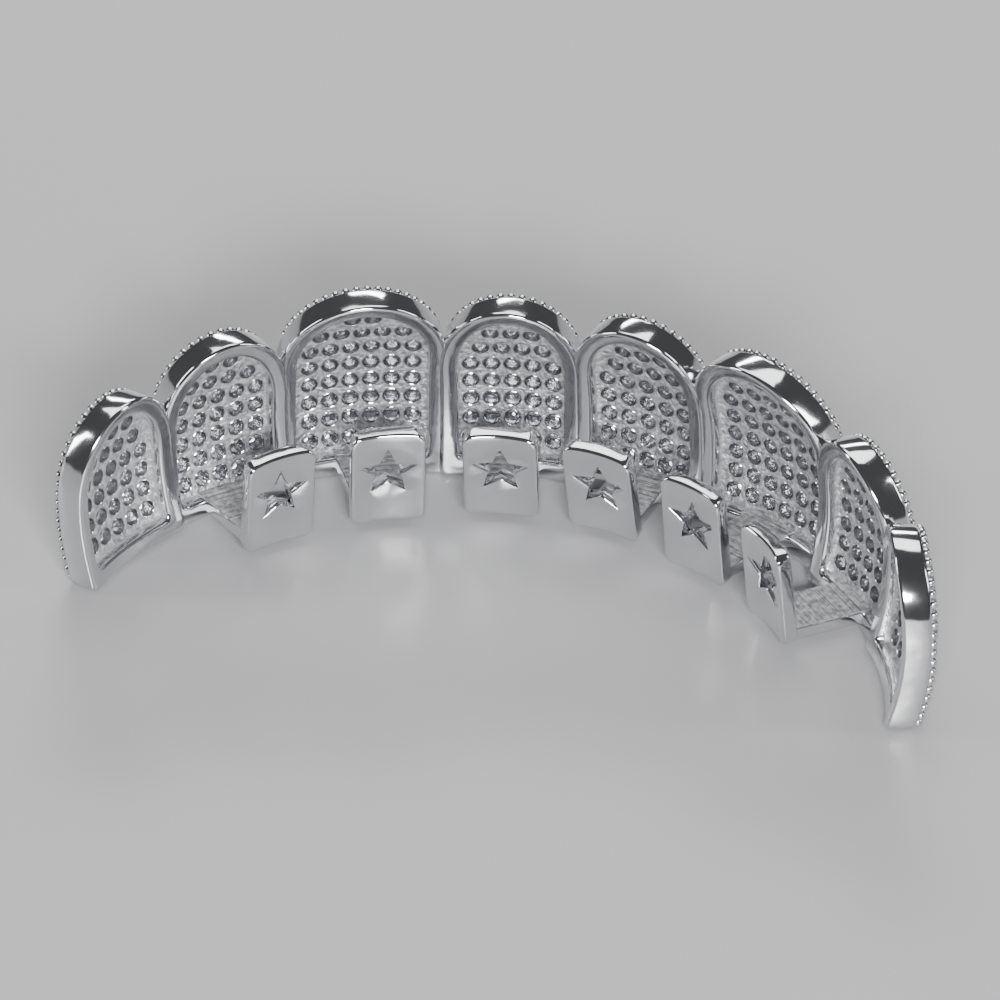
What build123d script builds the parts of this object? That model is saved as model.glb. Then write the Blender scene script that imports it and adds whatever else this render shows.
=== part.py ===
from build123d import *

import os
from math import asin, cos, pi, radians, sin, sqrt

os.makedirs("parts", exist_ok=True)

# Tooth cover for the eight front teeth of one jaw, in millimetres. Eight tooth fronts stand side by side
# on their biting edges in an arch. Each is a thin shell that bulges outwards, with a sunk panel inside its
# rim that is drilled behind every stone. From the biting edge of the six middle fronts a strap runs inwards
# and carries an upright tongue plate with a star cut out. +Z is up and the middle fronts look along -Y.
# The origin is on the resting plane, below the middle of the object's box.

# The arch: the line of the inner rims, seen from above
ARCH_HALF_WIDTH = 21.75
ARCH_DEPTH = 15.4

# Tooth fronts: arched outlines on a bulging shell
FRONT_HEIGHT = 11.9
ARCH_RISE = 4.6
JOINT_OVERLAP = 0.3
BULGE_RADIUS = 16.5
BULGE_HEIGHT = 4.0
SHELL_WALL = 1.5

# The raised border along each outline on the outer face, where the finest beads sit
BORDER_WIDTH = 0.56
BORDER_HEIGHT = 0.3
BORDER_ROUNDING = 0.18

# The sunk panel inside each rim
RIM_SIDE_WIDTH = 0.62
RIM_TOP_WIDTH = 1.0
RIM_ROUNDING = 0.25
FOOT_BAR_HEIGHT = 1.1
PANEL_THICKNESS = 0.8

# Stones and the seats drilled behind them
STONE_DIAMETER = 1.0
GAP_ACROSS = 0.13
GAP_UP = 0.25
SEAT_DIAMETER = 0.84
SEAT_CLEARANCE = 0.02
FIRST_ROW_HEIGHT = 1.75
CROWN_HEIGHT = 0.16
PAVILION_DEPTH = 0.43
TABLE_SHARE = 0.56
CULET_SHARE = 0.06
FACETS = 8

# Tongue plates with a star, and the straps that carry them
PLATE_WIDTH = 3.9
PLATE_TOP_HEIGHT = 6.35
PLATE_THICKNESS = 0.85
PLATE_CURVE_RADIUS = 7.0
PLATE_CORNER_RADIUS = 0.6
PLATE_EDGE_ROUNDING = 0.2
STRAP_WIDTH = 3.0
STRAP_UNDERSIDE = 0.45
STRAP_THICKNESS = 0.8
STAR_RADIUS = 1.52
STAR_WAIST_SHARE = 0.44
STAR_HEIGHT = 3.85

# How far cutting shapes run past what they cut, as a multiple of its thickness
CUT_PAST = 4

# How far the girdle stands above the metal when the pavilion rests just clear of its seat's mouth
PAVILION_SLOPE = PAVILION_DEPTH / (STONE_DIAMETER * (1 - CULET_SHARE))
GIRDLE_LIFT = (STONE_DIAMETER - SEAT_DIAMETER) * PAVILION_SLOPE + SEAT_CLEARANCE

# Joints between the fronts, from an end of the arch to its middle: shares of the half width and depth
JOINTS = [
    {"across": 1.0, "forward": 0.0},
    {"across": 0.874, "forward": 0.411},
    {"across": 0.651, "forward": 0.713},
    {"across": 0.307, "forward": 0.925},
    {"across": 0.0, "forward": 1.0},
]

# Fronts from an end of the arch to its middle. Heights are shares of FRONT_HEIGHT, and a lean in degrees
# brings the biting edge inwards. Rows counts the drilled rows, and set_rows those that hold a main stone.
FRONTS = [
    {"name": "end", "height": 0.83, "lean": 6.0, "columns": 5, "rows": 6, "set_rows": 5},
    {"name": "third", "height": 0.90, "lean": 4.0, "columns": 5, "rows": 7, "set_rows": 6},
    {"name": "second", "height": 1.0, "lean": 0.0, "columns": 6, "rows": 8, "set_rows": 7},
    {"name": "middle", "height": 0.955, "lean": 0.0, "columns": 5, "rows": 7, "set_rows": 6},
]

# Tongue plates of the third, second and middle fronts: how far the foot stands inside the rim line and
# how far it is moved towards the middle, as shares of the plate's width, and the inward tilt in degrees
PLATES = [
    {"front": 1, "reach": 1.10, "shift": 0.15, "tilt": 5.0},
    {"front": 2, "reach": 0.96, "shift": 0.17, "tilt": 5.5},
    {"front": 3, "reach": 0.84, "shift": 0.0, "tilt": 11.0},
]


def joint_point(joint, ends_back):
    """Where two fronts meet on the rim line of the left half, with the arch's ends this far back."""
    return Vector(-ARCH_HALF_WIDTH * joint["across"], ends_back - ARCH_DEPTH * joint["forward"])


def turned(plane, angle, height=0):
    """The plane turned by an angle about the line along its own X axis at a height above it."""
    return Plane(plane.location * Location((0, 0, height)) * Rotation(angle, 0, 0) * Location((0, 0, -height)))


class Front:
    """One tooth front of the left half: its sizes, and its own axes X along the arch, Y inwards, Z up."""

    def __init__(self, index, ends_back):
        self.row = FRONTS[index]
        start = joint_point(JOINTS[index], ends_back)
        end = joint_point(JOINTS[index + 1], ends_back)
        chord = end - start
        self.half_width = chord.length / 2
        self.outline_half = self.half_width + JOINT_OVERLAP
        self.height = FRONT_HEIGHT * self.row["height"]
        self.arch_base = self.height - ARCH_RISE
        self.notch_height = self.arch_base + ARCH_RISE * sqrt(1 - (self.half_width / self.outline_half) ** 2)
        middle = (start + end) / 2
        self.upright = Plane(origin=(middle.X, middle.Y, 0), x_dir=chord, z_dir=(0, 0, 1))
        self.plane = turned(self.upright, self.row["lean"], self.notch_height)
        rim_radius = BULGE_RADIUS - SHELL_WALL
        self.ball_inset = sqrt(rim_radius**2 - (self.notch_height - BULGE_HEIGHT) ** 2 - self.half_width**2)
        self.ball = self.plane.location * Location((0, self.ball_inset, BULGE_HEIGHT))

    def foremost(self):
        """How far forwards the border and the tables of the stones on the outer face reach."""
        return self.ball.position.Y - BULGE_RADIUS - max(BORDER_HEIGHT, GIRDLE_LIFT + CROWN_HEIGHT)

    def rearmost(self):
        """How far back the rim's foot reaches at the front's outer end."""
        reach = sqrt((BULGE_RADIUS - SHELL_WALL) ** 2 - self.half_width**2 - BULGE_HEIGHT**2)
        return (self.ball * Location((-self.outline_half, -reach, -BULGE_HEIGHT))).position.Y

    def face_plane(self, inset):
        """A plane across the front for its outline, X along the arch and Y up, looking outwards."""
        inward = self.plane.y_dir
        return Plane(origin=self.plane.origin + inward * inset, x_dir=self.plane.x_dir, z_dir=inward * -1)

    def seats_in_row(self, height, pitch):
        """How many seats fit side by side at this height inside the rim's arched opening."""
        reach_across = self.half_width - RIM_SIDE_WIDTH - SEAT_DIAMETER / 2
        reach_up = ARCH_RISE - RIM_TOP_WIDTH - SEAT_DIAMETER / 2
        rise = max(0.0, height - self.arch_base)
        if rise > reach_up:
            return 0
        reach = reach_across * sqrt(1 - (rise / reach_up) ** 2)
        return min(self.row["columns"], 1 + int(2 * reach / pitch))

    def stone_places(self, rows):
        """Places on the outer face, Z outwards, for the lowest rows of stones."""
        pitch_across = STONE_DIAMETER + GAP_ACROSS
        row_turn = (STONE_DIAMETER + GAP_UP) / BULGE_RADIUS
        first_turn = asin((FIRST_ROW_HEIGHT - BULGE_HEIGHT) / BULGE_RADIUS)
        places = []
        for row in range(rows):
            rise = BULGE_RADIUS * sin(first_turn + row * row_turn)
            count = self.seats_in_row(BULGE_HEIGHT + rise, pitch_across)
            for column in range(count):
                across = (column - (count - 1) / 2) * pitch_across
                outward = Vector(across, -sqrt(BULGE_RADIUS**2 - across**2 - rise**2), rise)
                places.append(self.ball * Plane(origin=outward, x_dir=(1, 0, 0), z_dir=outward).location)
        return places


def fronts_in_place():
    """The left half's fronts, with the arch's box centred on the origin."""
    ends_back = -(Front(0, 0).rearmost() + Front(len(FRONTS) - 1, 0).foremost()) / 2
    return [Front(index, ends_back) for index in range(len(FRONTS))]


def arched_face(plane, half_width, base, rise, foot):
    """An outline with straight sides below a half ellipse."""
    with BuildSketch(plane) as outline:
        with BuildLine():
            EllipticalCenterArc((0, base), half_width, rise, start_angle=0, arc_size=180)
            Polyline((-half_width, base), (-half_width, foot), (half_width, foot), (half_width, base))
        make_face()
    return outline.sketch


def edges_on_ball(edges, ball, radius):
    """The edges above the foot that lie on a ball of this radius."""
    found = []
    for edge in edges:
        reaches = [(edge @ share - ball.position).length for share in (0.25, 0.5, 0.75)]
        if max(abs(reach - radius) for reach in reaches) < radius / 1000 and edge.center().Z > 0:
            found.append(edge)
    return found


def tooth_front(front):
    """The arched shell of one front, its outer face inside a raised border and its panel sunk and drilled."""
    start = front.ball_inset / 2
    start_plane = front.face_plane(start)
    reach = start + BULGE_RADIUS - front.ball_inset + CUT_PAST * SHELL_WALL
    with BuildPart() as pocket:
        opening_half = front.half_width - RIM_SIDE_WIDTH
        opening_rise = ARCH_RISE - RIM_TOP_WIDTH
        extrude(arched_face(start_plane, opening_half, front.arch_base, opening_rise, FOOT_BAR_HEIGHT), amount=reach)
        with Locations(front.ball):
            Sphere(BULGE_RADIUS - PANEL_THICKNESS, mode=Mode.INTERSECT)
    with BuildPart() as field:
        field_half = front.outline_half - BORDER_WIDTH
        field_rise = ARCH_RISE - BORDER_WIDTH
        extrude(arched_face(start_plane, field_half, front.arch_base, field_rise, BORDER_WIDTH), amount=reach)
        with Locations(front.ball):
            Sphere(BULGE_RADIUS, mode=Mode.SUBTRACT)
    with BuildPart() as shell:
        extrude(
            arched_face(start_plane, front.outline_half, front.arch_base, ARCH_RISE, -SHELL_WALL), amount=reach
        )
        with Locations(front.ball):
            Sphere(BULGE_RADIUS + BORDER_HEIGHT, mode=Mode.INTERSECT)
            Sphere(BULGE_RADIUS - SHELL_WALL, mode=Mode.SUBTRACT)
        fillet(edges_on_ball(shell.edges(), front.ball, BULGE_RADIUS - SHELL_WALL), RIM_ROUNDING)
        add(field.part, mode=Mode.SUBTRACT)
        fillet(edges_on_ball(shell.edges(), front.ball, BULGE_RADIUS + BORDER_HEIGHT), BORDER_ROUNDING)
        add(pocket.part, mode=Mode.SUBTRACT)
        with Locations(*front.stone_places(front.row["rows"])):
            Cylinder(SEAT_DIAMETER / 2, CUT_PAST * PANEL_THICKNESS, mode=Mode.SUBTRACT)
    return shell.part


def tongue_plate(row, front):
    """An upright curved plate with a star cut out, on the strap that joins it to its front's foot."""
    reach = row["reach"] * PLATE_WIDTH
    shift = row["shift"] * PLATE_WIDTH
    foot = front.upright.offset(STRAP_UNDERSIDE)
    seat = foot.origin + foot.x_dir * shift + foot.y_dir * reach
    standing = turned(Plane(origin=seat, x_dir=foot.x_dir, z_dir=foot.z_dir), -row["tilt"])
    facing = Plane(origin=standing.origin, x_dir=standing.x_dir, z_dir=standing.y_dir * -1)
    height = PLATE_TOP_HEIGHT - STRAP_UNDERSIDE
    with BuildPart(standing) as plate:
        with BuildSketch(facing):
            with Locations((0, height / 2)):
                outline = Rectangle(PLATE_WIDTH, height)
            fillet(outline.vertices(), PLATE_CORNER_RADIUS)
        extrude(amount=CUT_PAST * PLATE_THICKNESS, both=True)
        with Locations((0, PLATE_CURVE_RADIUS, 0)):
            Cylinder(PLATE_CURVE_RADIUS + PLATE_THICKNESS, CUT_PAST * height, mode=Mode.INTERSECT)
            Cylinder(PLATE_CURVE_RADIUS, CUT_PAST * height, mode=Mode.SUBTRACT)
        fillet(plate.faces().sort_by(Axis(seat, foot.y_dir))[-1].edges(), PLATE_EDGE_ROUNDING)
        with BuildSketch(facing):
            with Locations((0, STAR_HEIGHT - STRAP_UNDERSIDE)):
                Polygon(*star_points(), align=None)
        extrude(amount=CUT_PAST * PLATE_THICKNESS, both=True, mode=Mode.SUBTRACT)
    shell_foot = front.ball_inset - sqrt((BULGE_RADIUS - SHELL_WALL) ** 2 - BULGE_HEIGHT**2)
    shell_foot += front.notch_height * sin(radians(front.row["lean"]))
    far_end = shell_foot - SHELL_WALL / 2
    near_end = reach - PLATE_THICKNESS / 2
    with BuildPart() as strap:
        with BuildSketch(foot):
            with BuildLine():
                Polyline(
                    (-STRAP_WIDTH / 2, far_end),
                    (STRAP_WIDTH / 2, far_end),
                    (shift + STRAP_WIDTH / 2, near_end),
                    (shift - STRAP_WIDTH / 2, near_end),
                    close=True,
                )
            make_face()
        extrude(amount=STRAP_THICKNESS)
    return plate.part, strap.part


def star_points():
    """The corners of a five-pointed star, point up."""
    points = []
    for corner in range(10):
        radius = STAR_RADIUS if corner % 2 == 0 else STAR_RADIUS * STAR_WAIST_SHARE
        angle = pi / 2 + corner * pi / 5
        points.append((radius * cos(angle), radius * sin(angle)))
    return points


# One round cut stone: a table and eight crown facets above the girdle, eight pavilion facets below
with BuildPart() as stone:
    with BuildSketch():
        RegularPolygon(STONE_DIAMETER / 2, FACETS)
    with BuildSketch(Plane.XY.offset(CROWN_HEIGHT)):
        RegularPolygon(STONE_DIAMETER / 2 * TABLE_SHARE, FACETS)
    loft(ruled=True)
    with BuildSketch():
        RegularPolygon(STONE_DIAMETER / 2, FACETS)
    with BuildSketch(Plane.XY.offset(-PAVILION_DEPTH)):
        RegularPolygon(STONE_DIAMETER / 2 * CULET_SHARE, FACETS)
    loft(ruled=True)

fronts = fronts_in_place()

# The cast body: the left half's fronts, plates and straps, then the right half as its mirror image
with BuildPart() as cast_body:
    for front in fronts:
        add(tooth_front(front))
    for row in PLATES:
        for piece in tongue_plate(row, fronts[row["front"]]):
            add(piece)
    split(bisect_by=Plane.XY, keep=Keep.TOP)
    split(bisect_by=Plane.YZ, keep=Keep.BOTTOM)
    mirror(about=Plane.YZ)
cast_body.part.label = "cast_body"
export_step(cast_body.part, "parts/cast_body.step")

# A field of loose stones on each front, one node for the left and one for the right
for front in fronts:
    seats = front.stone_places(front.row["set_rows"])
    with BuildPart() as left_field:
        with Locations(*[seat * Location((0, 0, GIRDLE_LIFT)) for seat in seats]):
            add(stone.part)
    with BuildPart() as right_field:
        mirror(left_field.part, about=Plane.YZ)
    for side, field in (("left", left_field), ("right", right_field)):
        field.part.label = f"stones_{front.row['name']}_{side}"
        export_step(field.part, f"parts/{field.part.label}.step")
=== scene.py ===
import logging
import math
from collections.abc import Callable
from dataclasses import dataclass, field, replace
from enum import Enum

import bmesh
import bpy
import numpy as np
from mathutils import Matrix, Vector, geometry


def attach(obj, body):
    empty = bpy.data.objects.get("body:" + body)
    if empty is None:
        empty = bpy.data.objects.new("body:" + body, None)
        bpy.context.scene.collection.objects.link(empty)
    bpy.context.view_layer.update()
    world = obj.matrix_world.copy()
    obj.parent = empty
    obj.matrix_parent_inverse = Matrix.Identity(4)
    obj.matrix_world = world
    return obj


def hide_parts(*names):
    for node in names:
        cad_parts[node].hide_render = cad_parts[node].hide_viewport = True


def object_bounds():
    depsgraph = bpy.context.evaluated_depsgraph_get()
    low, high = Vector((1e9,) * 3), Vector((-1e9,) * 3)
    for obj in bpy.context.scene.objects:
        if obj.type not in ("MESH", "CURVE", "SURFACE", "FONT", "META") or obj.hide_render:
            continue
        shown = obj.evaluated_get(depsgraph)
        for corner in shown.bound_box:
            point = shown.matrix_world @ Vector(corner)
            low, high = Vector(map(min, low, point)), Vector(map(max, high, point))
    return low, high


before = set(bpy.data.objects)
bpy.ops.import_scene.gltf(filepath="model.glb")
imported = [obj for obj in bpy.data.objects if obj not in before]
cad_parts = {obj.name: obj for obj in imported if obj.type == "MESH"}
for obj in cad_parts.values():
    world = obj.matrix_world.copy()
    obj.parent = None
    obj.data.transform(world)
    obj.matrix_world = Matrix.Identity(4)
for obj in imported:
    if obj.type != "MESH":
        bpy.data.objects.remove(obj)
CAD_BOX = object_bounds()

# A cast tooth cover for eight front teeth: arched fronts set all over with small round stones, and tongue
# plates with a star, carried on straps. Sizes are millimetres and become metres when a mesh is made.

MM = 0.001
LOG = logging.getLogger("tooth_cover")
Pair = tuple[float, float]
Circle = tuple[float, float, float]
Placing = Callable[[float, float], Vector]
TINY = 1e-12


class Finish(Enum):
    """The finishes that the pieces are dressed in."""

    METAL = "bright_metal"
    STONE = "clear_stone"
    FLOOR = "pale_floor"


class Half(Enum):
    """The two halves of the arch, with the sign of their X side."""

    LEFT = -1
    RIGHT = 1


@dataclass(frozen=True)
class FrontSizes:
    """One tooth front of the left half.

    Args:
        name: The front's plain name.
        across: Share of the arch's half width at the joint nearer its end.
        forward: Share of the arch's depth at that joint.
        height: Share of the tallest front.
        lean: Degrees by which the biting edge is brought inwards.
        columns: Columns of main stones.
        rows: Rows of main stones.
    """

    name: str
    across: float
    forward: float
    height: float
    lean: float
    columns: int
    rows: int


@dataclass(frozen=True)
class PlateSizes:
    """One tongue plate of the left half.

    Args:
        front: Index of the front that carries it.
        reach: How far inwards its tongue face stands, as a share of its width.
        shift: How far it stands from its front's middle, as a share of its width.
        tilt: Degrees by which it leans towards the front.
    """

    front: int
    reach: float
    shift: float
    tilt: float


@dataclass(frozen=True)
class ArchSizes:
    """Driving sizes of the arch and its fronts, in millimetres.

    Args:
        half_width: Half the distance between the outer joints of the end fronts.
        depth: From those joints to the joint in the middle.
        ends_back: Where those joints lie on the Y axis.
        front_height: Height of the tallest front.
        rise: Height of a front's arched top.
        joint_overlap: How far neighbouring fronts run into each other.
        bulge_radius: Radius of the ball that the outer face belongs to.
        bulge_height: Height of the ball's middle.
        shell_wall: Depth of a front from its outer face to its rim.
        border_width: Width of the smooth border on the outer face.
        border_height: How far the beaded border stands proud.
        ridge: How far the border's metal stands proud.
        rim_side: Width of the rim at the sides.
        rim_top: Width of the rim at the top.
        foot_bar: Height of the panel's lower edge.
        foot_corner: Radius of the outline's lower corners.
        panel: Depth of the sunk panel below the outer face.
        outer_edge: Rounding of the edge to the outer face.
        rim_edge: Rounding of the rim's outer edge.
        panel_edge: Rounding of the rim's edge to the panel.
        panel_fillet: Radius where the rim meets the panel.
        lip_height: Height of the raised lip round a hole.
        lip_width: Width of that lip.
        lip_gap: Least distance between a lip and the rim.
    """

    half_width: float = 21.75
    depth: float = 15.4
    ends_back: float = 0.0
    front_height: float = 11.9
    rise: float = 4.6
    joint_overlap: float = 0.3
    bulge_radius: float = 16.5
    bulge_height: float = 4.0
    shell_wall: float = 1.5
    border_width: float = 0.6
    border_height: float = 0.3
    ridge: float = 0.1
    rim_side: float = 0.92
    rim_top: float = 1.0
    foot_bar: float = 1.1
    foot_corner: float = 0.45
    panel: float = 0.8
    outer_edge: float = 0.2
    rim_edge: float = 0.3
    panel_edge: float = 0.16
    panel_fillet: float = 0.05
    lip_height: float = 0.06
    lip_width: float = 0.11
    lip_gap: float = 0.03
    fronts: tuple[FrontSizes, ...] = (
        FrontSizes("end", 1.0, 0.0, 0.83, 6.0, 5, 6),
        FrontSizes("third", 0.874, 0.411, 0.90, 4.0, 5, 7),
        FrontSizes("second", 0.651, 0.713, 1.0, 0.0, 6, 8),
        FrontSizes("middle", 0.307, 0.925, 0.955, 0.0, 5, 7),
    )
    plates: tuple[PlateSizes, ...] = (
        PlateSizes(1, 1.10, 0.15, 5.0),
        PlateSizes(2, 0.96, 0.17, 5.5),
        PlateSizes(3, 0.84, 0.0, 11.0),
    )


def arc(centre: Pair, radius: float, start: float, end: float, steps: int) -> list[Pair]:
    """Points along a circular arc.

    Args:
        centre: The arc's centre.
        radius: Its radius.
        start: First angle in degrees.
        end: Last angle in degrees.
        steps: Number of spans.

    Returns:
        The points, ends included.
    """
    angles = [math.radians(start + (end - start) * k / steps) for k in range(steps + 1)]
    return [(centre[0] + radius * math.cos(a), centre[1] + radius * math.sin(a)) for a in angles]


def inside(points: np.ndarray, loop: np.ndarray) -> np.ndarray:
    """Which points lie inside a closed loop.

    Args:
        points: An array of points, two columns.
        loop: The loop's corners, two columns.

    Returns:
        True for each point inside.
    """
    result = np.zeros(len(points), dtype=bool)
    for (ax, ay), (bx, by) in zip(loop, np.roll(loop, -1, axis=0)):
        crosses = (ay > points[:, 1]) != (by > points[:, 1])
        if ay != by:
            result ^= crosses & (points[:, 0] < (bx - ax) * (points[:, 1] - ay) / (by - ay) + ax)
    return result


def distance_to_loop(points: np.ndarray, loop: np.ndarray) -> np.ndarray:
    """Distance of each point to the nearest side of a closed loop.

    Args:
        points: An array of points, two columns.
        loop: The loop's corners, two columns.

    Returns:
        One distance for each point.
    """
    nearest = np.full(len(points), np.inf)
    for start, end in zip(loop, np.roll(loop, -1, axis=0)):
        side = end - start
        share = np.clip(((points - start) @ side) / max(side @ side, TINY), 0, 1)
        nearest = np.minimum(nearest, np.linalg.norm(points - start - share[:, None] * side, axis=1))
    return nearest


def linked(name: str, data: bpy.types.ID) -> bpy.types.Object:
    """Makes an object and links it to the scene.

    Args:
        name: The object's name.
        data: Its mesh, light or camera.

    Returns:
        The new object.
    """
    made = bpy.data.objects.new(name, data)
    bpy.context.scene.collection.objects.link(made)
    return made


class ShellMesh:
    """A closed mesh built from loops of points, strips between loops and filled flat regions."""

    OUTLINE_CLEAR = 0.55
    HOLE_CLEAR = 0.4
    MERGE = 1e-7
    SHARP_ANGLE = 40

    def __init__(self) -> None:
        """Starts empty."""
        self.points: list[Vector] = []
        self.satin: list[float] = []
        self.brush: list[float] = []
        self.faces: list[tuple[int, ...]] = []

    def add_points(self, points: list[Vector], satin: float, brush: float = 0.0) -> list[int]:
        """Adds points with a satin share.

        Args:
            points: Places in millimetres.
            satin: 0 where mirror polished, 1 where satin, 2 where brushed.
            brush: Distance along a brushed face, across its brush lines.

        Returns:
            Their indices.
        """
        first = len(self.points)
        self.points += points
        self.satin += [satin] * len(points)
        self.brush += [brush] * len(points)
        return list(range(first, len(self.points)))

    def bridge(self, first: list[int], second: list[int]) -> None:
        """Joins two closed loops of as many points with a strip of four-sided faces.

        Args:
            first: Point indices of one loop.
            second: Those of the other.
        """
        count = len(first)
        for k in range(count):
            after = (k + 1) % count
            self.faces.append((first[k], first[after], second[after], second[k]))

    def sleeve(self, loops: list[list[int]], turned: bool = False) -> None:
        """Joins each loop to the next.

        Args:
            loops: Point indices of each loop.
            turned: Whether the strips are turned over, as in a hole.
        """
        for first, second in zip(loops, loops[1:]):
            self.bridge(*((second, first) if turned else (first, second)))

    def fill(
        self,
        loops: list[list[int]],
        flat: list[np.ndarray],
        place: Placing,
        spacing: float,
        satin: float,
        flip: bool,
    ) -> None:
        """Fills the region between an outer loop and the holes in it.

        Args:
            loops: Point indices of the outer loop and of each hole.
            flat: The same loops as flat coordinates, two columns.
            place: Function from a flat point to a place in millimetres.
            spacing: Distance between the points strewn inside.
            satin: Satin share of those points.
            flip: Whether the faces are turned over.
        """
        outer = flat[0]
        low, high = outer.min(axis=0), outer.max(axis=0)
        rows = np.arange(low[1], high[1], spacing * math.sqrt(3) / 2)
        grid = np.array([
            (x + (spacing / 2 if k % 2 else 0), z)
            for k, z in enumerate(rows)
            for x in np.arange(low[0], high[0], spacing)
        ])
        keep = inside(grid, outer) & (distance_to_loop(grid, outer) > spacing * self.OUTLINE_CLEAR)
        for hole in flat[1:]:
            centre = hole.mean(axis=0)
            reach = np.linalg.norm(hole - centre, axis=1).max() + spacing * self.HOLE_CLEAR
            keep &= np.linalg.norm(grid - centre, axis=1) > reach
        grid = grid[keep]
        indices = [k for loop in loops for k in loop]
        indices += self.add_points([place(x, z) for x, z in grid], satin)
        coords = np.vstack(flat + ([grid] if len(grid) else []))
        edges, start = [], 0
        for loop in loops:
            edges += [(start + k, start + (k + 1) % len(loop)) for k in range(len(loop))]
            start += len(loop)
        made = geometry.delaunay_2d_cdt([Vector(c) for c in coords], edges, [], 0, self.MERGE, True)
        origin = [ids[0] for ids in made[3]]
        triangles = np.array([[origin[k] for k in face] for face in made[2]])
        centres = coords[triangles].mean(axis=1)
        keep = inside(centres, outer)
        for hole in flat[1:]:
            near = np.linalg.norm(centres - hole.mean(axis=0), axis=1) < np.ptp(hole, axis=0).max()
            keep[near] &= ~inside(centres[near], hole)
        for triangle in triangles[keep]:
            corners = [indices[k] for k in triangle]
            self.faces.append(tuple(reversed(corners)) if flip else tuple(corners))

    def absorb(self, other: "ShellMesh") -> None:
        """Adds another mesh's points and faces.

        Args:
            other: The mesh that is added; it stays as it is.
        """
        shift = len(self.points)
        self.points += other.points
        self.satin += other.satin
        self.brush += other.brush
        self.faces += [tuple(k + shift for k in face) for face in other.faces]

    def mirrored(self) -> "ShellMesh":
        """The same mesh on the other side of the middle plane.

        Returns:
            A new mesh.
        """
        twin = ShellMesh()
        twin.points = [Vector((-p.x, p.y, p.z)) for p in self.points]
        twin.satin = list(self.satin)
        twin.brush = list(self.brush)
        twin.faces = [tuple(reversed(face)) for face in self.faces]
        return twin

    def to_object(self, name: str) -> bpy.types.Object:
        """Makes the Blender object, in metres, smooth apart from sharp edges.

        Args:
            name: The object's name.

        Returns:
            The new object, linked to the scene.
        """
        mesh = bpy.data.meshes.new(name)
        mesh.from_pydata([p * MM for p in self.points], [], self.faces)
        for label, values in (("satin", self.satin), ("brush", self.brush)):
            mesh.attributes.new(label, "FLOAT", "POINT").data.foreach_set("value", values)
        body = bmesh.new()
        body.from_mesh(mesh)
        bmesh.ops.recalc_face_normals(body, faces=body.faces)
        body.to_mesh(mesh)
        body.free()
        mesh.shade_smooth()
        mesh.set_sharp_from_angle(angle=math.radians(self.SHARP_ANGLE))
        return linked(name, mesh)


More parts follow.
